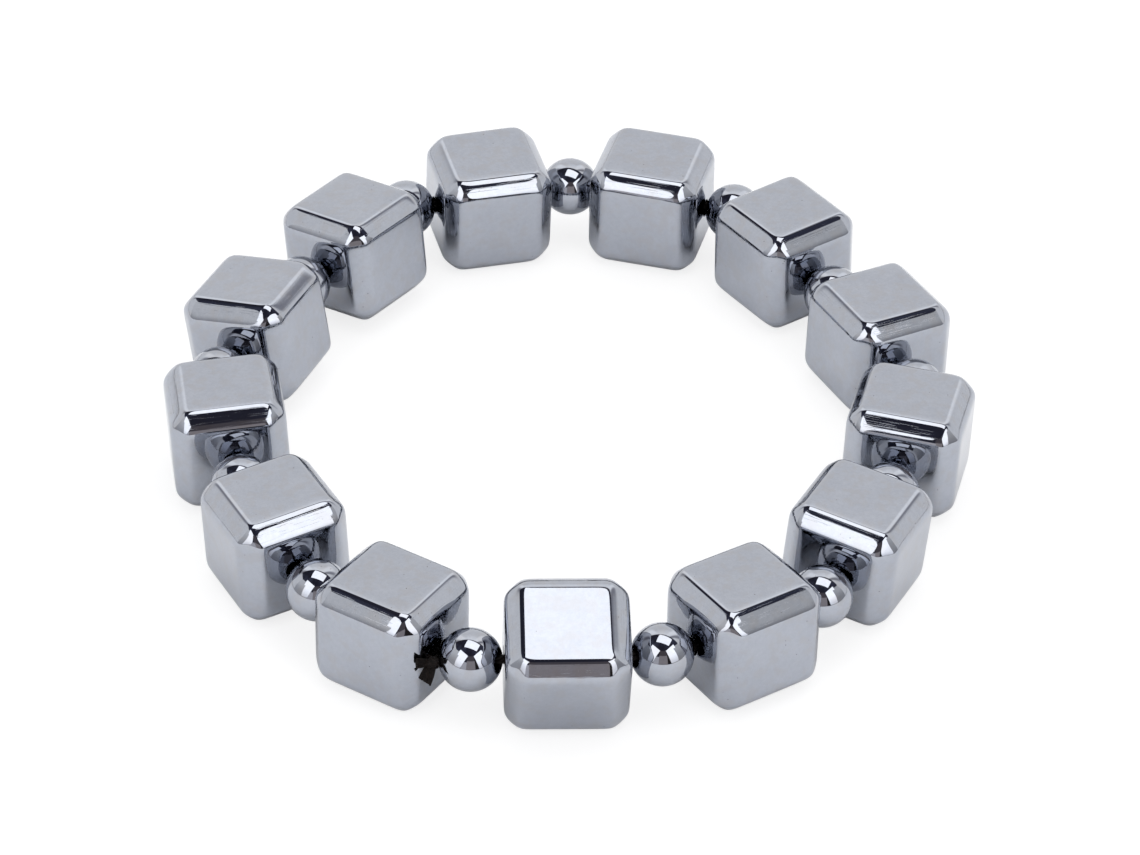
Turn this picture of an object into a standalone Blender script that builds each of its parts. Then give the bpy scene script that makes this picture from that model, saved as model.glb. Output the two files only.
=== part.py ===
"""Stretch bracelet of cut cube beads with round spacer beads on a knotted elastic cord.

Run with: blender --background --python part.py
Units are metres, +Z is up, and the bracelet lies on its side with its front towards -Y.
"""

import math

import bmesh
import bpy
from mathutils import Matrix, Vector

MM = 0.001

# Driving dimensions.
CUBE_WIDTH = 9.8 * MM  # across the hole, both ways
CUBE_LENGTH = 10.0 * MM  # along the hole
CUBE_CHAMFER = 1.35 * MM
CHAMFER_SOFTENING = 0.4 * MM
CUBE_HOLE = 2.1 * MM
BALL_DIAMETER = 5.2 * MM
BALL_HOLE = 2.2 * MM
BEAD_GAP = 0.12 * MM
CORD_DIAMETER = 0.8 * MM
OVAL_HALF_WIDTH = 28.6 * MM  # of the line through the cubes, side to side
OVAL_HALF_DEPTH = 34.4 * MM  # and front to back
FRONT_CUBE_SHIFT = 0.7 * MM  # along the oval, towards +X

# How each cube lies, going round from the front one towards -X. It is turned about the
# vertical, leaned outwards about its own hole, and moved out from its even place on the
# oval or back along it.
CUBE_SEATS = (
    # (turn in degrees, lean in degrees, out in mm, back in mm)
    (1.5, 19.0, 0.0, -0.3),
    (1.5, 0.0, 0.1, 0.0),
    (0.0, 3.5, 0.1, 0.0),
    (3.0, 3.5, 0.6, -0.4),
    (-7.5, 9.5, 0.2, 0.0),
    (2.5, 7.0, -0.8, -0.4),
    (-4.0, -1.0, -0.3, -0.3),
    (2.0, 0.0, 0.1, -0.3),
    (-5.5, -1.0, -0.3, 0.3),
    (11.5, 1.0, 0.2, -0.1),
    (-9.0, 1.5, 0.6, 0.1),
    (0.5, 4.5, -0.2, -0.3),
    (-2.0, -1.0, -0.3, -0.1),
)

# Fineness of the round shapes.
OVAL_STEPS = 1440
HOLE_SIDES = 12
BALL_SIDES = 14
BALL_ARC_STEPS = 8
CORD_BEVEL_RESOLUTION = 2
KNOT_SIDES = 14
KNOT_RINGS = 8
ROD_SIDES = 10

# The cord runs straight through each cube and bends inside it and at the mouths of the balls.
CORD_IN_CUBE = 0.37  # of the cube's length, each way from its middle
CORD_AT_MOUTH = 0.55  # of the way from the mouth of the cube's hole to that of the ball's

# The knot sits outside the cord, in the notch between the second cube's end face and
# the ball before it. Places are (off the face, outwards, up) from the mouth of the hole.
KNOT_CENTRE = (0.75 * MM, 2.95 * MM, 0.90 * MM)
KNOT_HALF_SIZE = (0.50 * MM, 0.62 * MM, 0.85 * MM)
KNOT_NECK_START = (0.16 * MM, 0.62 * MM, 0.0)
KNOT_NECK_END = (0.45 * MM, 2.60 * MM, 0.70 * MM)
KNOT_NECK_DIAMETER = 0.16 * MM
# The cut ends of the cord: where each one stops, its width and thickness, and how far it is
# rolled about its own length from lying flat along the face.
KNOT_ENDS = (
    # (off the face, outwards, up, width, thickness, all in mm, roll in degrees)
    (0.90, 4.00, -0.35, 1.30, 0.40, 65.0),
    (0.25, 4.25, 1.20, 1.00, 0.35, 0.0),
)
KNOT_END_START = 0.2  # each end leaves the knot this share of the way along


def remove_everything():
    for thing in list(bpy.data.objects):
        bpy.data.objects.remove(thing, do_unlink=True)
    for collection in list(bpy.data.collections):
        bpy.data.collections.remove(collection)


def new_collection(name):
    collection = bpy.data.collections.new(name)
    bpy.context.scene.collection.children.link(collection)
    return collection


def plain_material(name, colour, roughness, metallic):
    material = bpy.data.materials.new(name)
    material.use_nodes = True
    shader = material.node_tree.nodes["Principled BSDF"]
    shader.inputs["Base Color"].default_value = (*colour, 1.0)
    shader.inputs["Roughness"].default_value = roughness
    shader.inputs["Metallic"].default_value = metallic
    return material


def object_from_bmesh(name, shape, collection):
    mesh = bpy.data.meshes.new(name)
    shape.to_mesh(mesh)
    shape.free()
    thing = bpy.data.objects.new(name, mesh)
    collection.objects.link(thing)
    return thing


def finished_mesh(thing, name, material, smooth_under):
    """The object's mesh with its modifiers applied, after which the object is removed."""
    bpy.context.view_layer.update()
    graph = bpy.context.evaluated_depsgraph_get()
    mesh = bpy.data.meshes.new_from_object(thing.evaluated_get(graph))
    mesh.transform(thing.matrix_world)
    mesh.name = name
    mesh.materials.clear()
    mesh.materials.append(material)
    mesh.shade_smooth()
    mesh.set_sharp_from_angle(angle=math.radians(smooth_under))
    bpy.data.objects.remove(thing, do_unlink=True)
    return mesh


def boolean(thing, other, operation):
    other.hide_render = True
    other.display_type = "WIRE"
    modifier = thing.modifiers.new(other.name, "BOOLEAN")
    modifier.operation = operation
    modifier.object = other


def cylinder(name, diameter, length, sides, collection):
    """A closed cylinder along X, centred on the origin."""
    shape = bmesh.new()
    bmesh.ops.create_cone(
        shape,
        cap_ends=True,
        segments=sides,
        radius1=diameter / 2,
        radius2=diameter / 2,
        depth=length,
        matrix=Matrix.Rotation(math.pi / 2, 4, "Y"),
    )
    return object_from_bmesh(name, shape, collection)


def cube_bead_mesh(material, helpers):
    """A cube with softened chamfers on every edge and a hole along X."""
    shape = bmesh.new()
    size = Matrix.Diagonal((CUBE_LENGTH, CUBE_WIDTH, CUBE_WIDTH, 1.0))
    bmesh.ops.create_cube(shape, size=1.0, matrix=size)
    blank = object_from_bmesh("cube_blank", shape, helpers)
    for name, width in (("chamfer", CUBE_CHAMFER), ("softening", CHAMFER_SOFTENING)):
        bevel = blank.modifiers.new(name, "BEVEL")
        bevel.width = width
        bevel.segments = 1
        bevel.limit_method = "ANGLE"
        bevel.angle_limit = math.radians(30.0)
    drill = cylinder("cube_drill", CUBE_HOLE, 1.5 * CUBE_LENGTH, HOLE_SIDES, helpers)
    boolean(blank, drill, "DIFFERENCE")
    mesh = finished_mesh(blank, "cube_bead", material, 20.0)
    bpy.data.objects.remove(drill, do_unlink=True)
    return mesh


def ball_bead_mesh(material, helpers):
    """A round bead turned about its hole, which runs along X."""
    radius = BALL_DIAMETER / 2
    first = math.asin(BALL_HOLE / BALL_DIAMETER)
    step = (math.pi - 2 * first) / BALL_ARC_STEPS
    angles = [first + step * i for i in range(BALL_ARC_STEPS + 1)]
    profile = [(radius * math.sin(a), 0.0, radius * math.cos(a)) for a in angles]
    edges = [(i, (i + 1) % len(profile)) for i in range(len(profile))]
    mesh = bpy.data.meshes.new("ball_profile")
    mesh.from_pydata(profile, edges, [])
    blank = bpy.data.objects.new("ball_blank", mesh)
    helpers.objects.link(blank)
    screw = blank.modifiers.new("turning", "SCREW")
    screw.steps = BALL_SIDES
    screw.render_steps = BALL_SIDES
    screw.use_merge_vertices = True
    screw.merge_threshold = 0.00001
    blank.rotation_euler = (0.0, math.pi / 2, 0.0)
    return finished_mesh(blank, "ball_bead", material, 50.0)


def oval_place(turn):
    """A point on the oval and the way out from it. The turn is 0 in front, growing to +X."""
    point = Vector((OVAL_HALF_WIDTH * math.sin(turn), -OVAL_HALF_DEPTH * math.cos(turn), 0.0))
    outwards = Vector((math.sin(turn) / OVAL_HALF_WIDTH, -math.cos(turn) / OVAL_HALF_DEPTH, 0.0))
    return point, outwards.normalized()


def even_turns(count):
    """Turns that space this many places evenly along the oval, going towards -X."""
    turns = [2 * math.pi * i / OVAL_STEPS for i in range(OVAL_STEPS + 1)]
    run = [0.0]
    for before, after in zip(turns, turns[1:]):
        run.append(run[-1] + (oval_place(after)[0] - oval_place(before)[0]).length)
    places = []
    for index in range(count):
        wanted = (FRONT_CUBE_SHIFT - run[-1] * index / count) % run[-1]
        after = next(i for i, length in enumerate(run) if length > wanted)
        share = (wanted - run[after - 1]) / (run[after] - run[after - 1])
        places.append(turns[after - 1] + share * (turns[after] - turns[after - 1]))
    return places


def cube_places(mesh):
    """Where each cube goes: its own X runs along the cord, back towards the cube before."""
    places = []
    for turn, seat in zip(even_turns(len(CUBE_SEATS)), CUBE_SEATS):
        turned, leaned, out, back = seat
        point, outwards = oval_place(turn)
        backwards = Vector((-outwards.y, outwards.x, 0.0))
        point = point + outwards * out * MM + backwards * back * MM
        heading = math.atan2(backwards.y, backwards.x) + math.radians(turned)
        facing = Matrix.Rotation(heading, 4, "Z") @ Matrix.Rotation(math.radians(leaned), 4, "X")
        lowest = min((facing @ corner.co).z for corner in mesh.vertices)
        places.append(Matrix.Translation((point.x, point.y, -lowest)) @ facing)
    return places


def ball_places(cubes):
    """Each ball lies between two cubes' holes, just far enough out to clear both faces."""
    reach = BALL_DIAMETER / 2 + BEAD_GAP
    places = []
    for here, ahead in zip(cubes, cubes[1:] + cubes[:1]):
        near_mouth = here @ Vector((-CUBE_LENGTH / 2, 0.0, 0.0))
        far_mouth = ahead @ Vector((CUBE_LENGTH / 2, 0.0, 0.0))
        near_way = -(here.to_3x3() @ Vector((1.0, 0.0, 0.0)))
        far_way = ahead.to_3x3() @ Vector((1.0, 0.0, 0.0))
        middle = (near_mouth + far_mouth) / 2
        outwards = (near_way + far_way).normalized()
        push = max(
            0.0,
            (reach - (middle - near_mouth).dot(near_way)) / outwards.dot(near_way),
            (reach - (middle - far_mouth).dot(far_way)) / outwards.dot(far_way),
        )
        centre = middle + outwards * push
        along = (near_mouth - far_mouth).normalized()
        across = Vector((0.0, 0.0, 1.0)).cross(along).normalized()
        turned = Matrix((along, across, along.cross(across))).transposed().to_4x4()
        places.append(Matrix.Translation(centre) @ turned)
    return places


def cord_points(cubes, balls):
    """The cord's route, two points in each cube and one at each mouth of each ball."""
    bend = Vector((CORD_IN_CUBE * CUBE_LENGTH, 0.0, 0.0))
    cube_mouth = Vector((CUBE_LENGTH / 2, 0.0, 0.0))
    ball_mouth = Vector((math.sqrt(BALL_DIAMETER**2 - BALL_HOLE**2) / 2, 0.0, 0.0))
    points = []
    for here, ball, ahead in zip(cubes, balls, cubes[1:] + cubes[:1]):
        points.append(here @ bend)
        points.append(here @ -bend)
        points.append((here @ -cube_mouth).lerp(ball @ ball_mouth, CORD_AT_MOUTH))
        points.append((ahead @ cube_mouth).lerp(ball @ -ball_mouth, CORD_AT_MOUTH))
    return points


def cord_loop(points, material, collection):
    curve = bpy.data.curves.new("elastic_cord", "CURVE")
    curve.dimensions = "3D"
    curve.bevel_depth = CORD_DIAMETER / 2
    curve.bevel_resolution = CORD_BEVEL_RESOLUTION
    curve.use_fill_caps = True
    spline = curve.splines.new("POLY")
    spline.points.add(len(points) - 1)
    for place, point in zip(spline.points, points):
        place.co = (*point, 1.0)
    spline.use_cyclic_u = True
    spline.use_smooth = True
    curve.materials.append(material)
    cord = bpy.data.objects.new("elastic_cord", curve)
    collection.objects.link(cord)
    return cord


def between(name, start, end, width, thickness, roll, collection):
    """A flattened rod from start to end, with its width across the bead's face before the roll."""
    rod = cylinder(name, 1.0, 1.0, ROD_SIDES, collection)
    along = (end - start).normalized()
    thin = (Vector((1.0, 0.0, 0.0)) - along * along.x).normalized()
    turned = Matrix((along, thin.cross(along), thin)).transposed().to_4x4()
    rolled = Matrix.Rotation(math.radians(roll), 4, "X")
    size = Matrix.Diagonal(((end - start).length, width, thickness, 1.0))
    rod.matrix_world = Matrix.Translation((start + end) / 2) @ turned @ rolled @ size
    return rod


def knot_mesh(material, helpers):
    """The knot and its cut ends, in a frame of (off the face, outwards, up)."""
    centre = Vector(KNOT_CENTRE)
    shape = bmesh.new()
    size = Matrix.Translation(centre) @ Matrix.Diagonal((*KNOT_HALF_SIZE, 1.0))
    bmesh.ops.create_uvsphere(
        shape, u_segments=KNOT_SIDES, v_segments=KNOT_RINGS, radius=1.0, matrix=size
    )
    knot = object_from_bmesh("knot_blank", shape, helpers)
    neck_start = Vector(KNOT_NECK_START)
    neck_end = Vector(KNOT_NECK_END)
    thick = KNOT_NECK_DIAMETER
    joined = [between("neck", neck_start, neck_end, thick, thick, 0.0, helpers)]
    for index, (off, out, up, width, thickness, roll) in enumerate(KNOT_ENDS):
        end = Vector((off, out, up)) * MM
        start = centre.lerp(end, KNOT_END_START)
        name = f"cut_end_{index + 1}"
        joined.append(between(name, start, end, width * MM, thickness * MM, roll, helpers))
    for piece in joined:
        boolean(knot, piece, "UNION")
    mesh = finished_mesh(knot, "cord_knot", material, 40.0)
    for piece in joined:
        bpy.data.objects.remove(piece, do_unlink=True)
    return mesh


def knot_place(cube):
    """The frame at the mouth of a cube's hole: off the face, outwards, up."""
    mouth = cube @ Vector((CUBE_LENGTH / 2, 0.0, 0.0))
    off = cube.to_3x3() @ Vector((1.0, 0.0, 0.0))
    up = Vector((0.0, 0.0, 1.0))
    turned = Matrix((off, off.cross(up), up)).transposed().to_4x4()
    return Matrix.Translation(mouth) @ turned


def centre_on_origin(things):
    """Moves the whole bracelet so that its box stands on the origin, middle and base."""
    bpy.context.view_layer.update()
    corners = [
        thing.matrix_world @ vertex.co
        for thing in things
        if thing.type == "MESH"
        for vertex in thing.data.vertices
    ]
    low = Vector(min(corner[axis] for corner in corners) for axis in range(3))
    high = Vector(max(corner[axis] for corner in corners) for axis in range(3))
    shift = Vector((-(low.x + high.x) / 2, -(low.y + high.y) / 2, -low.z))
    for thing in things:
        thing.location = thing.location + shift


def main():
    remove_everything()
    bracelet = new_collection("Beaded bracelet")
    helpers = new_collection("Cutters")
    stone = plain_material("polished_stone", (0.42, 0.44, 0.48), 0.07, 1.0)
    elastic = plain_material("elastic", (0.018, 0.013, 0.011), 0.55, 0.0)

    cube_mesh = cube_bead_mesh(stone, helpers)
    ball_mesh = ball_bead_mesh(stone, helpers)
    cubes = cube_places(cube_mesh)
    balls = ball_places(cubes)
    things = []
    for kind, mesh, places in (("cube", cube_mesh, cubes), ("round", ball_mesh, balls)):
        for index, place in enumerate(places):
            bead = bpy.data.objects.new(f"{kind}_bead_{index + 1:02d}", mesh)
            bead.matrix_world = place
            bracelet.objects.link(bead)
            things.append(bead)
    things.append(cord_loop(cord_points(cubes, balls), elastic, bracelet))
    knot = bpy.data.objects.new("cord_knot", knot_mesh(elastic, helpers))
    knot.matrix_world = knot_place(cubes[1])
    bracelet.objects.link(knot)
    things.append(knot)
    centre_on_origin(things)


main()
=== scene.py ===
import math

import bpy
import numpy as np
from mathutils import Matrix, Vector


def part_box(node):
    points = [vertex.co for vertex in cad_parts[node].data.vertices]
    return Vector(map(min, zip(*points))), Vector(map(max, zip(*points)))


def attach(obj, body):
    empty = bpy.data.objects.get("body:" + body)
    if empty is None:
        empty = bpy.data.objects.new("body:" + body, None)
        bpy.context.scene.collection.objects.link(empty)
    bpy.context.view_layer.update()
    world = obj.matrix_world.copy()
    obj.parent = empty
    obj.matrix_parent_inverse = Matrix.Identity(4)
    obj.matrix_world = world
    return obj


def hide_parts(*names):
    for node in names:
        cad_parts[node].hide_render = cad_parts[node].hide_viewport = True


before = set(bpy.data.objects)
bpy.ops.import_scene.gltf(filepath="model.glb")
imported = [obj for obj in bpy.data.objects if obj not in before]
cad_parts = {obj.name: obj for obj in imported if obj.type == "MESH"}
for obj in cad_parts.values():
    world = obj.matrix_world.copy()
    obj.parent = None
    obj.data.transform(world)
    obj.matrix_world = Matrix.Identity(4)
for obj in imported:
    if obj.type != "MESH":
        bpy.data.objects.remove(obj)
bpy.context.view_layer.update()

# The camera stands in front of the bracelet and looks down on it through a long lens, held a
# little askew. Lengths are in millimetres and turned into metres where a thing is placed.
MM = 0.001
CAMERA_PLACE = (0.13, -341.82, 252.31)
LOOKING_DOWN = 36.03  # degrees
HELD_ASKEW = 1.44
LENS = 155.2

camera = bpy.data.objects.new("camera", bpy.data.cameras.new("camera"))
camera.data.lens = LENS
camera.data.sensor_width = 36.0
camera.data.clip_start = 0.01
camera.data.clip_end = 50.0
tipped = Matrix.Rotation(math.radians(90.0 - LOOKING_DOWN), 4, "X")
askew = Matrix.Rotation(math.radians(HELD_ASKEW), 4, "Z")
camera.matrix_world = Matrix.Translation(Vector(CAMERA_PLACE) * MM) @ tipped @ askew
bpy.context.collection.objects.link(camera)
bpy.context.scene.camera = camera
bpy.context.scene.view_settings.view_transform = "Standard"


# The floor is a white board, with painted light over its shadows where the camera sees it. It is
# the first thing with a finish, so the small class that the finishes are written with comes here: a
# value wraps one socket of a shader.
class Value:
    def __init__(self, tree, socket=None):
        self.tree = tree
        self.socket = socket

    def node(self, kind, settings, sockets, output=0):
        """Adds a node: its settings first, then the values or links of its sockets."""
        made = self.tree.nodes.new(kind)
        for name, setting in settings.items():
            setattr(made, name, setting)
        for name, value in sockets.items():
            if isinstance(value, Value):
                self.tree.links.new(value.socket, made.inputs[name])
            else:
                made.inputs[name].default_value = value
        return Value(self.tree, made.outputs[output] if made.outputs else None)

    def maths(self, operation, *values):
        return self.node("ShaderNodeMath", {"operation": operation}, dict(enumerate(values)))

    def __add__(self, other):
        return self.maths("ADD", self, other)

    def __radd__(self, other):
        return self.maths("ADD", other, self)

    def __sub__(self, other):
        return self.maths("SUBTRACT", self, other)

    def __rsub__(self, other):
        return self.maths("SUBTRACT", other, self)

    def __mul__(self, other):
        return self.maths("MULTIPLY", self, other)

    def __rmul__(self, other):
        return self.maths("MULTIPLY", other, self)

    def __truediv__(self, other):
        return self.maths("DIVIDE", self, other)

    def rise(self, low, high):
        """0 below low and 1 above high, with a smooth step between them."""
        sockets = {"Value": self, "From Min": low, "From Max": high}
        return self.node("ShaderNodeMapRange", {"interpolation_type": "SMOOTHSTEP"}, sockets)

    def part(self, name):
        """One of the parts X, Y and Z of a vector."""
        return self.node("ShaderNodeSeparateXYZ", {}, {"Vector": self}, name)

    def tint(self, low, high):
        """A colour between two colours, or links to colours, with this value as the share."""
        settings = {"data_type": "RGBA", "clamp_factor": True}
        low, high = [c if isinstance(c, Value) else (*c, 1.0) for c in (low, high)]
        return self.node("ShaderNodeMix", settings, {0: self, 6: low, 7: high}, 2)


def new_finish(name):
    """A material, its principled shader, and a value to build its nodes from."""
    material = bpy.data.materials.new(name)
    material.use_nodes = True
    shader = material.node_tree.nodes["Principled BSDF"]
    return material, shader, Value(material.node_tree)


FLOOR_REACH = 8.0  # metres each way from the bracelet
FLOOR_DROP = 0.02  # mm under the beads
FLOOR_COLOUR = (0.93, 0.935, 0.94)
FLOOR_ROUGHNESS = 0.7
# Where the camera sees it, the board has a painted glow, brightest round the bracelet, that washes
# out the shadows there, and it fades to a pale grey far from it.
SEEN_COLOUR = (0.25, 0.251, 0.254)
PAINTED_GLOW_NEAR = (0.79, 0.79, 0.79)
FAR_GLOW = (0.70, 0.705, 0.715)
GLOW_FADES = (0.11, 0.5)  # metres from the bracelet

board, shader, nodes = new_finish("white_board")
shader.inputs["Base Color"].default_value = (*FLOOR_COLOUR, 1.0)
shader.inputs["Roughness"].default_value = FLOOR_ROUGHNESS
shader.inputs["Specular IOR Level"].default_value = 0.1
spot = nodes.node("ShaderNodeTexCoord", {}, {}, "Object")
away = nodes.node("ShaderNodeVectorMath", {"operation": "LENGTH"}, {0: spot}, "Value")
away = away.rise(*GLOW_FADES)
# Painted light: camera rays see the board glow, brightest round the bracelet, so the beads' shadows fade
# there.
seen = nodes.node("ShaderNodeBsdfPrincipled", {}, {
    "Base Color": away.tint(SEEN_COLOUR, (0.0, 0.0, 0.0)),
    "Roughness": FLOOR_ROUGHNESS,
    "Specular IOR Level": 0.0,
    "Emission Color": away.tint(PAINTED_GLOW_NEAR, FAR_GLOW),
    "Emission Strength": 1.0,
})
plain = Value(board.node_tree, shader.outputs["BSDF"])
whitened = nodes.node("ShaderNodeLightPath", {}, {}, "Is Camera Ray")
surface = nodes.node("ShaderNodeMixShader", {}, {0: whitened, 1: plain, 2: seen})
output = board.node_tree.nodes["Material Output"]
board.node_tree.links.new(surface.socket, output.inputs["Surface"])
mesh = bpy.data.meshes.new("floor")
signs = ((-1, -1), (1, -1), (1, 1), (-1, 1))
corners = [(x * FLOOR_REACH, y * FLOOR_REACH, -FLOOR_DROP * MM) for x, y in signs]
mesh.from_pydata(corners, [], [(0, 1, 2, 3)])
mesh.materials.append(board)
floor = bpy.data.objects.new("floor", mesh)
bpy.context.collection.objects.link(floor)


# The studio is a white tent round a white floor, open overhead and in front. The room is dark
# through the opening, with a brown stand and a pale board in front. Directions are degrees to
# the right of straight ahead, and degrees up.
WHITE_WALL = (1.0, 1.0, 1.0)
DARK_ROOM = (0.03, 0.03, 0.045)
LIT_CEILING = (0.065, 0.07, 0.105)
DIM_ROOM = (0.12, 0.105, 0.115)
BLACK_DRAPE = (0.03, 0.026, 0.026)
BROWN_STAND = (0.41, 0.371, 0.374)
PALE_BOARD = (0.72, 0.70, 0.73)
OPENING_SIDES = (-1.1, 1.12)  # the opening overhead, as sideways over up
OPENING_BACK = (0.43, -0.25)  # its far edge, as back over up, and how much that changes sideways
OPENING_NEAR = -1e5  # it has no near edge
OPENING_BLUR = 0.04
FRONT_GAP = (-34.0, 32.0)
THING_BLUR = 1.0
HORIZON = (-0.01, 0.01)
STREAK_SCALE = 3.0  # of the faint light on the dark ceiling
STREAK_SHARES = (0.35, 0.7)
SIDE_GAPS = ((-132.0, -119.0), (119.0, 132.0))  # where the tent's back meets its sides
GAP_TONE = (0.4, 0.4, 0.44)
GAP_BLUR = 5.0
GAP_CLIMB = (12.0, 34.0)  # a gap opens between these heights
TABLE_EDGE = (-5.0, 1.6)  # the table's edge shows between these heights
EDGE_TONE = 0.62
EDGE_BLUR = 0.6
BACK_TONES = (1.05, 1.38)  # the tent's back, low and high
BACK_CLIMB = (36.0, 66.0)
LIT_FOLDS = ((-154.0, -136.0), (136.0, 154.0))  # the soft boxes light the folds beside the gaps
FOLD_TONE = 1.45
FRONT_THINGS = (
    # (colour, from and to in degrees right, from and to in degrees up)
    (DIM_ROOM, (-14.0, 20.0), (30.0, 50.0)),
    (PALE_BOARD, (-32.0, -12.0), (-2.0, 27.0)),
    (BROWN_STAND, (-13.0, 19.0), (-2.0, 32.0)),
    (BLACK_DRAPE, (19.0, 32.0), (2.0, 40.0)),
)
DEGREE = 180.0 / math.pi

world = bpy.data.worlds.new("studio")
world.use_nodes = True
world.node_tree.nodes.clear()
bpy.context.scene.world = world
nodes = Value(world.node_tree)
way = nodes.node("ShaderNodeTexCoord", {}, {}, "Generated")
across, back, up = (way.part(name) for name in "XYZ")
height = up.maths("MAXIMUM", up, 0.001)
turn = across.maths("ARCTAN2", across, 0.0 - back) * DEGREE
climb = up.maths("ARCSINE", up) * DEGREE


def within(value, low, high, blur):
    """1 where a value lies between two limits and 0 outside them."""
    return value.rise(low - blur, low + blur) * (1.0 - value.rise(high - blur, high + blur))


far_edge, slant = OPENING_BACK
opening = within(across / height, *OPENING_SIDES, OPENING_BLUR)
depth = back / height - slant * (across / height)
opening = opening * within(depth, OPENING_NEAR, far_edge, OPENING_BLUR)
dark = opening.maths("MAXIMUM", opening, within(turn, *FRONT_GAP, THING_BLUR)) * up.rise(*HORIZON)
gaps = within(turn, *SIDE_GAPS[0], GAP_BLUR) + within(turn, *SIDE_GAPS[1], GAP_BLUR)
gaps = gaps * climb.rise(*GAP_CLIMB)
walls = climb.rise(*BACK_CLIMB).tint((BACK_TONES[0],) * 3, (BACK_TONES[1],) * 3)
folds = within(turn, *LIT_FOLDS[0], GAP_BLUR) + within(turn, *LIT_FOLDS[1], GAP_BLUR)
walls = (folds * climb.rise(*GAP_CLIMB)).tint(walls, (FOLD_TONE,) * 3)
walls = within(climb, *TABLE_EDGE, EDGE_BLUR).tint(walls, (EDGE_TONE,) * 3)
walls = gaps.tint(walls, GAP_TONE)
walls = up.rise(*HORIZON).tint(WHITE_WALL, walls)
streaks = nodes.node("ShaderNodeTexNoise", {}, {"Vector": way, "Scale": STREAK_SCALE, "Detail": 1.0})
ceiling = streaks.rise(*STREAK_SHARES).tint(DARK_ROOM, LIT_CEILING)
studio = dark.tint(walls, ceiling)
for colour, turns, climbs in FRONT_THINGS:
    seen = within(turn, *turns, THING_BLUR) * within(climb, *climbs, THING_BLUR)
    studio = seen.tint(studio, colour)
seen = nodes.node("ShaderNodeLightPath", {}, {}, "Is Camera Ray").tint(studio, FAR_GLOW)
light = nodes.node("ShaderNodeBackground", {}, {"Color": seen, "Strength": 1.0})
nodes.node("ShaderNodeOutputWorld", {}, {"Surface": light})

# Each soft box and grey reflector is a flat panel. Its corners are seen from the bead beside the
# front one, and its plane is the one in which they make a parallelogram.
SEEN_FROM = (-7.4, -34.0, 5.3)
PANEL_FOOT = (0.58, 0.58, 0.60)  # a panel's glow near the floor, as a share of the rest
PANEL_FADES = (0.05, 0.42)  # metres over the floor
PANELS = (
    # (name, distance in mm, strength, corners)
    ("overhead_soft_box", 700.0, 2.24, ((-160.8, 65.5), (105.9, 59.4), (49.1, 61.5), (-78.4, 69.3))),
    ("left_soft_box", 850.0, 2.32, ((-12.0, 50.0), (-73.0, 55.0), (-54.0, 3.0), (-33.0, 4.0))),
    ("right_soft_box", 850.0, 2.35, ((19.0, 49.0), (78.0, 53.0), (58.0, 3.0), (32.0, 3.0))),
    ("left_reflector", 700.0, 0.95, ((-57.0, 50.0), (-92.0, 41.0), (-92.0, 1.0), (-57.0, 1.0))),
    ("right_reflector", 700.0, 0.76, ((60.0, 50.0), (95.0, 40.0), (95.0, 1.0), (60.0, 1.0))),
)


def direction(turn, climb):
    """The way to a place that is so many degrees to the right and up."""
    turn, climb = math.radians(turn), math.radians(climb)
    flat = math.cos(climb)
    return np.array((math.sin(turn) * flat, -math.cos(turn) * flat, math.sin(climb)))


for name, distance, strength, corners in PANELS:
    ways = np.array([direction(*corner) for corner in corners])
    signs = np.array((1.0, -1.0, 1.0, -1.0))
    depths = np.abs(np.linalg.svd((ways * signs[:, None]).T)[2][-1])
    places = ways * (depths / depths.mean() * distance)[:, None] + SEEN_FROM
    lit, shader, nodes = new_finish(name)
    above = nodes.node("ShaderNodeTexCoord", {}, {}, "Object").part("Z")
    glow = above.rise(*PANEL_FADES).tint(PANEL_FOOT, (1.0, 1.0, 1.0))
    lit.node_tree.links.new(glow.socket, shader.inputs["Emission Color"])
    shader.inputs["Emission Strength"].default_value = strength
    shader.inputs["Base Color"].default_value = (0.0, 0.0, 0.0, 1.0)
    shader.inputs["Specular IOR Level"].default_value = 0.0
    mesh = bpy.data.meshes.new(name)
    mesh.from_pydata([tuple(place * MM) for place in places], [], [(0, 1, 2, 3)])
    mesh.materials.append(lit)
    panel = bpy.data.objects.new(name, mesh)
    panel.visible_camera = False
    bpy.context.collection.objects.link(panel)

# A broad soft lamp overhead whitens the floor. The camera doesn't see it, and the polished
# stone doesn't mirror it.
FILL_POWER = 12.0  # watts
FILL_SIZE = 2.0  # metres
FILL_HEIGHT = 1.5
fill = bpy.data.objects.new("fill", bpy.data.lights.new("fill", "AREA"))
fill.data.energy = FILL_POWER
fill.data.size = FILL_SIZE
fill.location = (0.0, 0.0, FILL_HEIGHT)
fill.visible_glossy = False
fill.visible_camera = False
bpy.context.collection.objects.link(fill)


# The cube beads are cut from grey stone, with a flat chamfer along every edge and a small cut
# at every corner. Tumbling rounds the cuts a little, and polishing makes them mirrors. Each one
# is drilled from end to end.
CUBE_LENGTH = 10.16  # along the hole
CUBE_WIDTH = 9.95
CUBE_LIFT = 0.09  # mm over the middle of the plain solid
CHAMFER = 1.32
CORNER_CUT = 0.68  # how far the corner's cut stands back from where the chamfers would meet
ROUNDING = 0.15  # about a sixth of the radius of the edges
STRAY_CUT = 0.035  # how much the cuts of one bead differ from those of the next, in mm
STRAY_LEAN = 0.005  # and in radians
CUBE_HOLE = 1.6
HOLE_RIM = 0.14
# How each cube is turned about the vertical and leaned outwards about its own hole.
CUBE_LIES = (
    # (turned, leaned), in degrees, from the front cube round towards the left
    (3.187, 19.0),
    (-31.824, 0.0),
    (-61.187, 3.5),
    (-80.732, 3.5),
    (-112.602, 9.5),
    (-126.812, 7.0),
    (-164.293, -3.0),
    (165.516, -2.0),
    (126.325, -1.0),
    (118.642, 1.0),
    (76.682, 1.5),
    (63.913, 4.5),
    (34.203, -1.0),
)
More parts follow.
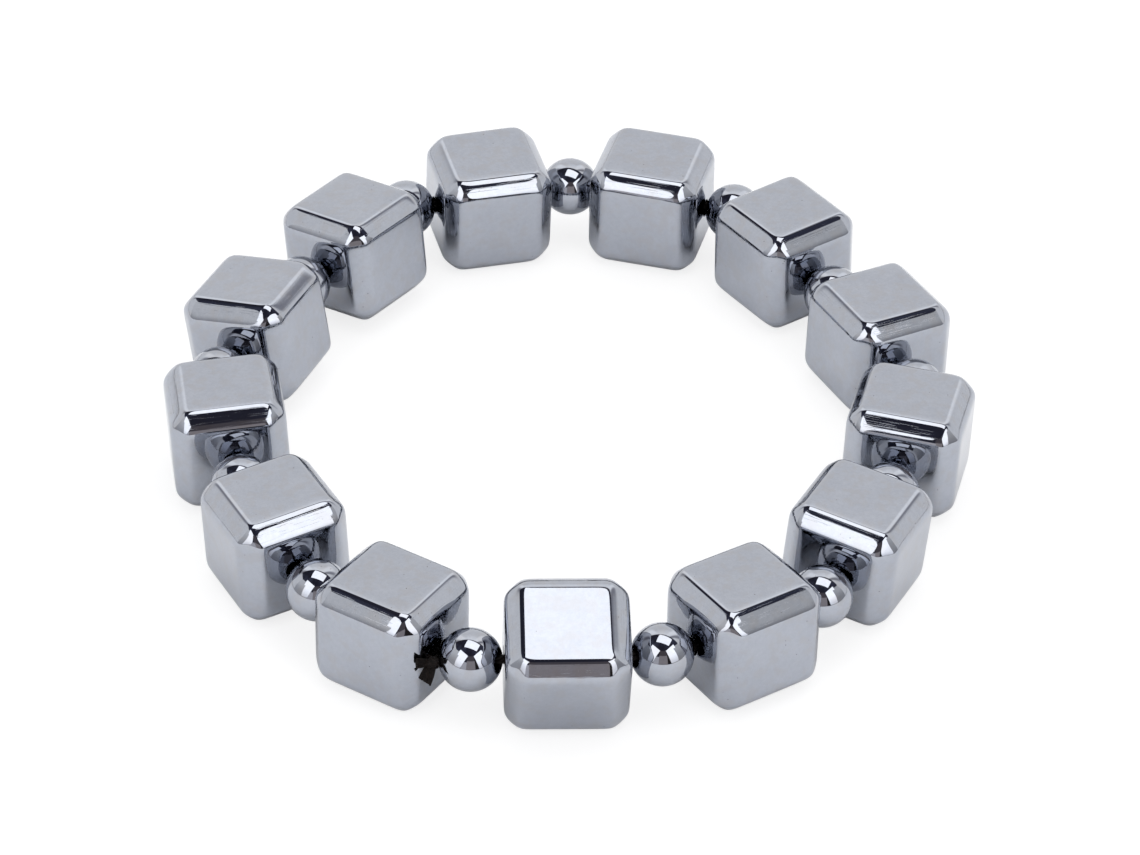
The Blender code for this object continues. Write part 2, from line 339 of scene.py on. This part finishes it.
# Lines across a face, out from its middle: wide apart on the flat, close over the roundings.
FLAT_LINES = np.linspace(0.0, 2.4, 6)
EDGE_LINES = np.concatenate(((2.75,), np.linspace(2.95, 4.45, 16), (4.6, 4.78, 4.95, 5.05)))
MOUTH_RINGS = 6
RIM_STEPS = 5
BORE_STEPS = 6
RUB_SLOPES = (0.45, 0.60)  # a chamfer's polishing lines start and are full at these slopes
RUB_ENDS = (0.10, 0.25)  # and they fade between these towards its ends
RUB_SHIFT = 3.0  # sets the lines apart on chamfers that run different ways
REACHES = (3.0, 9.0)  # mm from the middle, inside and outside the whole surface
HALVINGS = 26


def cube_cuts(length, width, chamfer, corner_cut):
    """The flat cuts that shape a cube bead: the way out of each and its distance from the middle."""
    half = np.array((length, width, width)) / 2
    ways, distances = [], []
    for signs in np.ndindex(3, 3, 3):
        way = np.array(signs) - 1.0
        kind = int(np.abs(way).sum())
        if kind:
            cut = (0.0, 0.0, chamfer, 1.5 * chamfer + corner_cut)[kind]
            ways.append(way / math.sqrt(kind))
            distances.append(((np.abs(way) * half).sum() - cut) / math.sqrt(kind))
    return np.array(ways), np.array(distances)


def outside(points, cuts):
    """How far each point is outside the rounded form of the cuts, and the way out from it."""
    ways, distances = cuts
    over = points @ ways.T - distances
    most = over.max(axis=1, keepdims=True)
    shares = np.exp((over - most) / ROUNDING)
    total = shares.sum(axis=1, keepdims=True)
    way = (shares / total) @ ways
    way /= np.linalg.norm(way, axis=1, keepdims=True)
    return (most + ROUNDING * np.log(total))[:, 0], way


def on_surface(targets, cuts):
    """The points of the form on the lines from its middle through the targets."""
    ways = targets / np.linalg.norm(targets, axis=1, keepdims=True)
    near, far = (np.full(len(ways), reach) for reach in REACHES)
    for _ in range(HALVINGS):
        middle = (near + far) / 2
        beyond = outside(ways * middle[:, None], cuts)[0] > 0
        far = np.where(beyond, middle, far)
        near = np.where(beyond, near, middle)
    return ways * near[:, None]


def net_faces(rows):
    """The faces of a net whose rows are lists of point numbers."""
    faces = []
    for low, high in zip(rows, rows[1:]):
        faces += list(zip(low, low[1:], high[1:], high))
    return faces


def cube_net():
    """A net over a plain cube: its points, its faces, and the rings of points at both mouths."""
    edge = EDGE_LINES
    lines = np.concatenate((-edge[::-1], -FLAT_LINES[:0:-1], FLAT_LINES, edge))
    inner = FLAT_LINES[-1]
    points, known, faces, mouths = [], {}, [], []

    def number(axis, side, first, second):
        spot = np.roll((side * edge[-1], first, second), axis)
        key = tuple(np.round(spot, 5))
        if key not in known:
            known[key] = len(points)
            points.append(spot)
        return known[key]

    def patch(axis, side, firsts, seconds):
        faces.extend(net_faces([[number(axis, side, a, b) for a in firsts] for b in seconds]))

    low, high = lines[lines < 0.01 - inner], lines[lines > inner - 0.01]
    middle = lines[np.abs(lines) < inner + 0.01]
    ring = [(a, -inner) for a in middle[:-1]] + [(inner, b) for b in middle[:-1]]
    ring += [(a, inner) for a in middle[:0:-1]] + [(-inner, b) for b in middle[:0:-1]]
    for side in (-1.0, 1.0):
        for axis in (1, 2):
            patch(axis, side, lines, lines)
        for run in (low, high):
            patch(0, side, lines, run)
            patch(0, side, run, middle)
        rows = []
        for share in np.linspace(0.0, 1.0, MOUTH_RINGS):
            row = []
            for a, b in ring + ring[:1]:
                mouth = (CUBE_HOLE / 2 + HOLE_RIM) / math.hypot(a, b)
                scale = 1.0 + (mouth - 1.0) * share
                row.append(number(0, side, a * scale, b * scale))
            rows.append(row)
        faces.extend(net_faces(rows))
        mouths.append(rows[-1])
    return np.array(points), faces, mouths


def drilled(points, normals, faces, mouths, half):
    """Adds the rounded rims and the bore between the two mouths of the hole."""
    ring = points[mouths[1]][:, 1:]
    ring /= np.linalg.norm(ring, axis=1, keepdims=True)
    profile = []
    for step in range(1, RIM_STEPS + 1):
        turn = math.pi / 2 * step / RIM_STEPS
        along = half - HOLE_RIM + HOLE_RIM * math.cos(turn)
        profile.append((along, HOLE_RIM * (1.0 - math.sin(turn)), math.cos(turn), -math.sin(turn)))
    bore = [(x, 0.0, 0.0, -1.0) for x in np.linspace(half - HOLE_RIM, HOLE_RIM - half, BORE_STEPS)]
    profile += bore[1:-1] + [(-x, out, -nx, nr) for x, out, nx, nr in reversed(profile)]
    rows, extra_points, extra_normals = [mouths[1]], [], []
    for x, out, nx, nr in profile:
        start = len(points) + len(extra_points)
        rows.append(list(range(start, start + len(ring) - 1)) + [start])
        for y, z in ring[:-1]:
            reach = CUBE_HOLE / 2 + out
            extra_points.append((x, y * reach, z * reach))
            extra_normals.append((nx, y * nr, z * nr))
    rows.append(mouths[0])
    points = np.concatenate((points, extra_points))
    normals = np.concatenate((normals, extra_normals))
    return points, normals, faces + net_faces(rows)


def rub_marks(points, normals):
    """Where the chamfers are rubbed: along each chamfer, across it, and how much."""
    leans = np.abs(normals)
    ends = np.argsort(leans, axis=1)
    rows = np.arange(len(points))
    least, middle = (leans[rows, ends[:, rank]] for rank in (0, 1))
    along = points[rows, ends[:, 0]]
    over = np.abs(points[rows, ends[:, 1]]) - np.abs(points[rows, ends[:, 2]])
    amount = np.interp(middle, RUB_SLOPES, (0.0, 1.0)) * np.interp(least, RUB_ENDS, (1.0, 0.0))
    return np.stack((along + RUB_SHIFT * ends[:, 0], over, amount), axis=1)


def bead_mesh(name, points, normals, faces, place, finish, rub=None):
    """A bead's mesh in its place, with its faces turned outwards and its normals kept exact."""
    corners = points[np.array(faces)]
    facing = np.cross(corners[:, 2] - corners[:, 0], corners[:, 3] - corners[:, 1])
    outwards = normals[np.array(faces)].sum(axis=1)
    wrong = (facing * outwards).sum(axis=1) < 0
    faces = [tuple(reversed(face)) if flip else face for face, flip in zip(faces, wrong)]
    turned = np.array(place.to_3x3())
    at = np.array(place.translation)
    mesh = bpy.data.meshes.new(name)
    mesh.from_pydata((points * MM @ turned.T + at).tolist(), [], [list(map(int, f)) for f in faces])
    mesh.polygons.foreach_set("use_smooth", [True] * len(mesh.polygons))
    mesh.normals_split_custom_set_from_vertices((normals @ turned.T).tolist())
    if rub is not None:
        mesh.attributes.new("rub", "FLOAT_VECTOR", "POINT").data.foreach_set("vector", rub.ravel())
    mesh.materials.append(finish)
    return mesh


def add_bead(node, mesh):
    bead = bpy.data.objects.new("dressed_" + node, mesh)
    bpy.context.collection.objects.link(bead)
    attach(bead, "root")
    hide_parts(node)


# The stone is grey with faint clouds, brown patches, a fine grain and tiny pits. It is polished
# until it reflects the room like metal.
STONE_GREY = (0.367, 0.388, 0.438)
STONE_PALE = (0.418, 0.438, 0.489)
STONE_BROWN = (0.385, 0.385, 0.405)
POLISH = 0.03
CLOUD_SIZE = 2.6  # mm
PATCH_SIZE = 0.4 * CLOUD_SIZE
MOTTLE_SIZE = 0.16 * CLOUD_SIZE
GRAIN_SIZE = 0.16
BROWN_SHARE = 0.5
SPECK_SHARE = 0.55
GRAIN_DULLS = 0.035  # what each adds to the roughness
PIT_DULLS = 0.3
LINE_DULLS = 0.2
RELIEF_DEPTH = 0.02  # mm
RELIEF_STRENGTH = 0.3
PIT_COLOUR = (0.07, 0.065, 0.065)
PITS = (0.9, (0.02, 0.07), (0.6, 0.65))  # spacing in mm, sizes and share, all over
SPECKS = (0.5, (0.06, 0.16), (0.6, 0.7))  # on the chamfers
LINE_STRETCH = (0.3, 9.0, 0.0)  # of the polishing lines: along the chamfer and across it
LINE_DRIFT = 120.0
LINE_SHARES = (0.57, 0.7)

stone, shader, nodes = new_finish("polished_stone")
place = nodes.node("ShaderNodeTexCoord", {}, {}, "Object")


def cloud(nodes, place, size, detail):
    """Soft noise with clouds of a size in mm."""
    sockets = {"Vector": place, "Scale": 1.0 / (size * MM), "Detail": detail}
    return nodes.node("ShaderNodeTexNoise", {}, sockets)


def spots(nodes, place, spacing, sizes, shares):
    """Scattered round spots: 1 inside them and 0 between them."""
    cells = {"Vector": place, "Scale": 1.0 / (spacing * MM)}
    distance = nodes.node("ShaderNodeTexVoronoi", {}, cells, "Distance")
    picked = nodes.node("ShaderNodeTexVoronoi", {}, cells, "Color").part("X").rise(*shares)
    return (1.0 - distance.rise(*sizes)) * picked


clouds = cloud(nodes, place, CLOUD_SIZE, 3.0)
mottling = cloud(nodes, place, MOTTLE_SIZE, 2.0)
grain = cloud(nodes, place, GRAIN_SIZE, 1.0)
warmth = cloud(nodes, place, PATCH_SIZE, 3.0).rise(0.45, 0.65)
pale = 0.35 * clouds.rise(0.3, 0.7) + 0.35 * mottling.rise(0.3, 0.7) + 0.3 * grain.rise(0.25, 0.75)
colour = (BROWN_SHARE * warmth).tint(pale.tint(STONE_GREY, STONE_PALE), STONE_BROWN)
pit = spots(nodes, place, *PITS)
speck = spots(nodes, place, *SPECKS)

# The chamfers keep the finest lines of the last polish, and tiny specks.
rub = nodes.node("ShaderNodeAttribute", {"attribute_name": "rub"}, {}, "Vector")
stretched = nodes.node("ShaderNodeVectorMath", {"operation": "MULTIPLY"}, {0: rub, 1: LINE_STRETCH})
drift = nodes.node("ShaderNodeVectorMath", {"operation": "SCALE"}, {0: place, "Scale": LINE_DRIFT})
line_place = nodes.node("ShaderNodeVectorMath", {"operation": "ADD"}, {0: stretched, 1: drift})
lines = nodes.node("ShaderNodeTexNoise", {}, {"Vector": line_place, "Scale": 1.0, "Detail": 2.0})
scratch = lines.rise(*LINE_SHARES) * rub.part("Z")
speck = speck * rub.part("Z") * warmth
pit = pit.maths("MAXIMUM", pit, SPECK_SHARE * speck)
links = stone.node_tree.links
links.new(pit.tint(colour, PIT_COLOUR).socket, shader.inputs["Base Color"])
roughness = POLISH + GRAIN_DULLS * grain.rise(0.4, 0.8) + PIT_DULLS * pit + LINE_DULLS * scratch
links.new(roughness.socket, shader.inputs["Roughness"])
relief = 0.05 * clouds + 0.02 * mottling + 0.006 * grain - 0.3 * pit - 0.25 * scratch
bumps = {"Height": relief, "Distance": RELIEF_DEPTH * MM, "Strength": RELIEF_STRENGTH}
links.new(nodes.node("ShaderNodeBump", {}, bumps).socket, shader.inputs["Normal"])
shader.inputs["Metallic"].default_value = 1.0

cube_places = []
for index, (turned, leaned) in enumerate(CUBE_LIES):
    low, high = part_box(f"cube_bead_{index + 1:02d}")
    turn = Matrix.Rotation(math.radians(turned), 4, "Z")
    lean = Matrix.Rotation(math.radians(leaned), 4, "X")
    lift = Vector((0.0, 0.0, CUBE_LIFT * MM))
    cube_places.append(Matrix.Translation((low + high) / 2 + lift) @ turn @ lean)

ways, distances = cube_cuts(CUBE_LENGTH, CUBE_WIDTH, CHAMFER, CORNER_CUT)
targets, faces, mouths = cube_net()
chance = np.random.default_rng(11)
for index, place in enumerate(cube_places):
    node = f"cube_bead_{index + 1:02d}"
    stray = ways + chance.normal(0.0, STRAY_LEAN, ways.shape)
    stray = np.where((np.abs(ways) > 0.99).any(axis=1)[:, None], ways, stray)
    cuts = stray, distances + chance.normal(0.0, STRAY_CUT, len(ways)) * (stray != ways).any(axis=1)
    points = on_surface(targets * (CUBE_LENGTH / CUBE_WIDTH, 1.0, 1.0), cuts)
    form = drilled(points, outside(points, cuts)[1], faces, mouths, CUBE_LENGTH / 2)
    add_bead(node, bead_mesh(node, *form, place, stone, rub_marks(*form[:2])))


# The round beads are smooth balls of the same stone, drilled through, that keep the cubes apart.
# Each one is turned about its hole, which points from cube to cube.
BALL_DIAMETER = 5.2
BALL_HOLE = 1.5
BALL_RIM = 0.12
BALL_ARC_STEPS = 28
BALL_SIDES = 72


def ball_form():
    """The points, normals and faces of a round bead, turned about X."""
    radius = BALL_DIAMETER / 2
    reach = BALL_HOLE / 2 + BALL_RIM
    along = math.sqrt((radius - BALL_RIM) ** 2 - reach**2)
    last = math.atan2(reach, along)
    half = []
    for turn in np.linspace(math.pi / 2, last, BALL_ARC_STEPS):
        half.append((radius * math.cos(turn), radius * math.sin(turn), turn))
    for turn in np.linspace(last, -math.pi / 2, 2 * RIM_STEPS)[1:]:
        half.append((along + BALL_RIM * math.cos(turn), reach + BALL_RIM * math.sin(turn), turn))
    half.append((along / 2, BALL_HOLE / 2, -math.pi / 2))
    profile = half + [(-x, out, math.pi - turn) for x, out, turn in reversed(half[1:])]
    points, normals, rows = [], [], []
    for x, out, turn in profile:
        start = len(points)
        rows.append(list(range(start, start + BALL_SIDES)) + [start])
        for side in range(BALL_SIDES):
            way = 2 * math.pi * side / BALL_SIDES
            y, z = math.cos(way), math.sin(way)
            points.append((x, y * out, z * out))
            normals.append((math.cos(turn), y * math.sin(turn), z * math.sin(turn)))
    rows.append(rows[0])
    return np.array(points), np.array(normals), net_faces(rows)


form = ball_form()
mouth = Vector((CUBE_LENGTH / 2 * MM, 0.0, 0.0))
ball_places = []
for index, (here, ahead) in enumerate(zip(cube_places, cube_places[1:] + cube_places[:1])):
    node = f"round_bead_{index + 1:02d}"
    low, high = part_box(node)
    along = ((here @ -mouth) - (ahead @ mouth)).normalized()
    across = Vector((0.0, 0.0, 1.0)).cross(along).normalized()
    turned = Matrix((along, across, along.cross(across))).transposed().to_4x4()
    ball_places.append(Matrix.Translation((low + high) / 2) @ turned)
    add_bead(node, bead_mesh(node, *form, ball_places[-1], stone))

# The stretch cord is a bundle of fine dark elastic strands. It runs through all the beads in one
# closed loop, which bends in the gaps between the cubes.
STRAND_DIAMETER = 0.27
STRANDS_AROUND = 6
CORD_TWISTS = 26  # round the whole loop
CORD_BEND = 3.7  # mm from the middle of a cube
CORD_AT_MOUTH = 0.55  # of the way from the mouth of the cube's hole to that of the ball's
CORD_SPLITS = 3
STRAND_SIDES = 8


def strand(line, radius, over, closed=False):
    """A round strand along a line of points, which never runs the way of over."""
    line = np.array(line)
    if closed:
        ahead = np.roll(line, -1, axis=0) - np.roll(line, 1, axis=0)
    else:
        ahead = np.gradient(line, axis=0)
    ahead /= np.linalg.norm(ahead, axis=1, keepdims=True)
    side = np.cross(ahead, over)
    side /= np.linalg.norm(side, axis=1, keepdims=True)
    top = np.cross(side, ahead)
    turns = 2 * math.pi * np.arange(STRAND_SIDES) / STRAND_SIDES
    rings = [line + radius * (side * math.cos(turn) + top * math.sin(turn)) for turn in turns]
    points = np.stack(rings, axis=1).reshape(-1, 3)
    rows = [list(range(start, start + STRAND_SIDES)) + [start]
            for start in range(0, len(points), STRAND_SIDES)]
    if closed:
        return points, net_faces(rows + rows[:1])
    ends = np.concatenate((points[:STRAND_SIDES], points[-STRAND_SIDES:]))
    caps = [tuple(len(points) + np.arange(STRAND_SIDES)[::-1])]
    caps.append(tuple(len(points) + STRAND_SIDES + np.arange(STRAND_SIDES)))
    return np.concatenate((points, ends)), net_faces(rows) + caps


def add_strands(node, strands, finish):
    points, faces = [], []
    for strand_points, strand_faces in strands:
        faces += [tuple(int(corner) + len(points) for corner in face) for face in strand_faces]
        points += strand_points.tolist()
    mesh = bpy.data.meshes.new(node)
    mesh.from_pydata((np.array(points) * MM).tolist(), [], faces)
    mesh.polygons.foreach_set("use_smooth", [len(face) == 4 for face in faces])
    mesh.materials.append(finish)
    piece = bpy.data.objects.new("dressed_" + node, mesh)
    bpy.context.collection.objects.link(piece)
    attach(piece, "root")
    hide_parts(node)


ELASTIC_DARK = (0.0015, 0.0012, 0.0012)
ELASTIC_PALE = (0.012, 0.008, 0.007)
ELASTIC_ROUGHNESS = 0.48
ELASTIC_GLOSS = 0.12
FIBRE_SIZE = 0.12  # mm
FIBRE_DEPTH = 0.02

elastic, shader, nodes = new_finish("elastic")
place = nodes.node("ShaderNodeTexCoord", {}, {}, "Object")
fibres = cloud(nodes, place, FIBRE_SIZE, 2.0)
links = elastic.node_tree.links
links.new(fibres.rise(0.35, 0.7).tint(ELASTIC_DARK, ELASTIC_PALE).socket, shader.inputs["Base Color"])
bumps = {"Height": fibres, "Distance": FIBRE_DEPTH * MM, "Strength": 0.5}
links.new(nodes.node("ShaderNodeBump", {}, bumps).socket, shader.inputs["Normal"])
shader.inputs["Roughness"].default_value = ELASTIC_ROUGHNESS
shader.inputs["Specular IOR Level"].default_value = ELASTIC_GLOSS

bend = Vector((CORD_BEND, 0.0, 0.0)) * MM
cube_mouth = Vector((CUBE_LENGTH / 2, 0.0, 0.0)) * MM
ball_mouth = Vector((math.sqrt(BALL_DIAMETER**2 - BALL_HOLE**2) / 2, 0.0, 0.0)) * MM
route = []
for here, ball, ahead in zip(cube_places, ball_places, cube_places[1:] + cube_places[:1]):
    route.append(here @ bend)
    route.append(here @ -bend)
    route.append((here @ -cube_mouth).lerp(ball @ ball_mouth, CORD_AT_MOUTH))
    route.append((ahead @ cube_mouth).lerp(ball @ -ball_mouth, CORD_AT_MOUTH))
middle = np.array([
    here.lerp(ahead, split / CORD_SPLITS) / MM
    for here, ahead in zip(route, route[1:] + route[:1])
    for split in range(CORD_SPLITS)
])
ahead = np.roll(middle, -1, axis=0) - np.roll(middle, 1, axis=0)
side = np.cross(ahead, (0.0, 0.0, 1.0))
side /= np.linalg.norm(side, axis=1, keepdims=True)
turns = 2 * math.pi * CORD_TWISTS * np.arange(len(middle)) / len(middle)
strands = [strand(middle, STRAND_DIAMETER / 2, (0.0, 0.0, 1.0), closed=True)]
for index in range(STRANDS_AROUND):
    turned = turns + 2 * math.pi * index / STRANDS_AROUND
    shift = side * np.cos(turned)[:, None] + np.array((0.0, 0.0, 1.0)) * np.sin(turned)[:, None]
    strands.append(strand(middle + STRAND_DIAMETER * shift, STRAND_DIAMETER / 2, (0, 0, 1), closed=True))
add_strands("elastic_cord", strands, elastic)


# The knot ties the cord in the notch between the front round bead and the cube to its left. Its
# two ends are cut short. The strands lie side by side in them like the hairs of a flat brush.
# Places are in mm off the cube's end face, outwards from its hole, and up.
KNOT_FACE = 5.0  # mm from the middle of the cube
KNOT_MIDDLE = (0.62, 2.70, 0.55)
KNOT_AXIS = (0.829, -0.038, -0.557)
KNOT_WRAP = ((0.361, -0.725, 0.585), (0.433, 0.651, 0.624))
KNOT_HALF_SIZES = (0.50, 0.56, 0.44)  # along the axis, then across it
KNOT_LOOPS = 7
FINE_STRAND = 0.074  # radius
LOOP_STRAND = 1.25  # times that
LOOP_STEPS = 25
LOOP_SPREAD = 0.9  # of the knot's half size, each way from its middle
LOOP_TAPER = 0.8
KNOT_SLANT = 0.16
NECK_START = (0.20, 0.62, 0.0)
NECK_BEND = (0.25, 1.7, 0.2)
NECK_STEP = (0.0, 0.06, 0.12)  # from one strand of the neck to the next
NECK_STRANDS = 3
CORD_ENDS = (
    # (root, root's half width, cut end, its half width, front of the ribbon, strands)
    (
        (0.80, 3.12, 0.30), (0.50, -0.34, 0.04), (0.84, 3.99, -0.45), (0.54, -0.105, -0.263),
        (0.433, 0.651, 0.624), 8,
    ),
    (
        (0.42, 3.20, 0.78), (-0.04, -0.06, 0.40), (0.14, 4.06, 1.16), (0.0, 0.0, 0.50),
        (0.9, 0.3, 0.1), 7,
    ),
)
CURVE_STEPS = 9
END_STRAY = (0.02, 0.02, 0.03)
LAYER_STEP = 1.6  # times the strand's radius
INNER_WIDTH = 0.5  # of a cut end inside the knot, as a share of its width at the root

cube_two = cube_places[1]
off_way = cube_two.to_3x3() @ Vector((1.0, 0.0, 0.0))
out_way = off_way.cross(Vector((0.0, 0.0, 1.0))).normalized()
face_middle = (cube_two @ Vector((KNOT_FACE * MM, 0.0, 0.0))) / MM
knot_frame = np.array((off_way, out_way, (0.0, 0.0, 1.0)))
knot_start = np.array(face_middle) - (0.0, 0.0, CUBE_LIFT)


def knot_strand(line, over, radius=FINE_STRAND):
    return strand(np.array(line) @ knot_frame + knot_start, radius, np.array(over) @ knot_frame)


def curve(start, middle, end):
    """Points of a smooth curve that leaves the start towards the middle point."""
    shares = np.linspace(0.0, 1.0, CURVE_STEPS)[:, None]
    start, middle, end = (np.array(point) for point in (start, middle, end))
    return start * (1 - shares) ** 2 + middle * 2 * shares * (1 - shares) + end * shares**2


chance = np.random.default_rng(5)
knot_middle, axis = np.array(KNOT_MIDDLE), np.array(KNOT_AXIS)
first, second = (np.array(way) for way in KNOT_WRAP)
strands = []
for place in np.linspace(-LOOP_SPREAD, LOOP_SPREAD, KNOT_LOOPS):
    round_out = math.sqrt(1.0 - LOOP_TAPER * place * place)
    turns = np.linspace(0.0, 2 * math.pi, LOOP_STEPS)[:, None]
    loop = knot_middle + axis * (KNOT_HALF_SIZES[0] * place)
    loop = loop + first * np.cos(turns) * KNOT_HALF_SIZES[1] * round_out
    loop = loop + second * np.sin(turns) * KNOT_HALF_SIZES[2] * round_out
    loop = loop + axis * np.cos(turns + place) * KNOT_SLANT
    strands.append(knot_strand(loop, axis, FINE_STRAND * LOOP_STRAND))
for index in range(NECK_STRANDS):
    shift = np.array(NECK_STEP) * (index - 1)
    line = curve(NECK_START + shift, NECK_BEND + shift, knot_middle + 2 * shift)
    strands.append(knot_strand(line, (1.0, 0.0, 0.0)))
for root, root_half, cut, cut_half, front, count in CORD_ENDS:
    root, root_half, cut, cut_half, front = (np.array(v) for v in (root, root_half, cut, cut_half, front))
    for layer in range(2):
        back = front * LAYER_STEP * FINE_STRAND * layer
        for index in range(count - layer):
            share = (2 * index + 1 + layer) / count - 1.0
            stray = chance.uniform(-1.0, 1.0, 3) * END_STRAY
            start = knot_middle + root_half * share * INNER_WIDTH
            end = cut + cut_half * share + stray - back
            through = root + root_half * share - back
            strands.append(knot_strand(curve(start, through, end), front))
add_strands("cord_knot", strands, elastic)
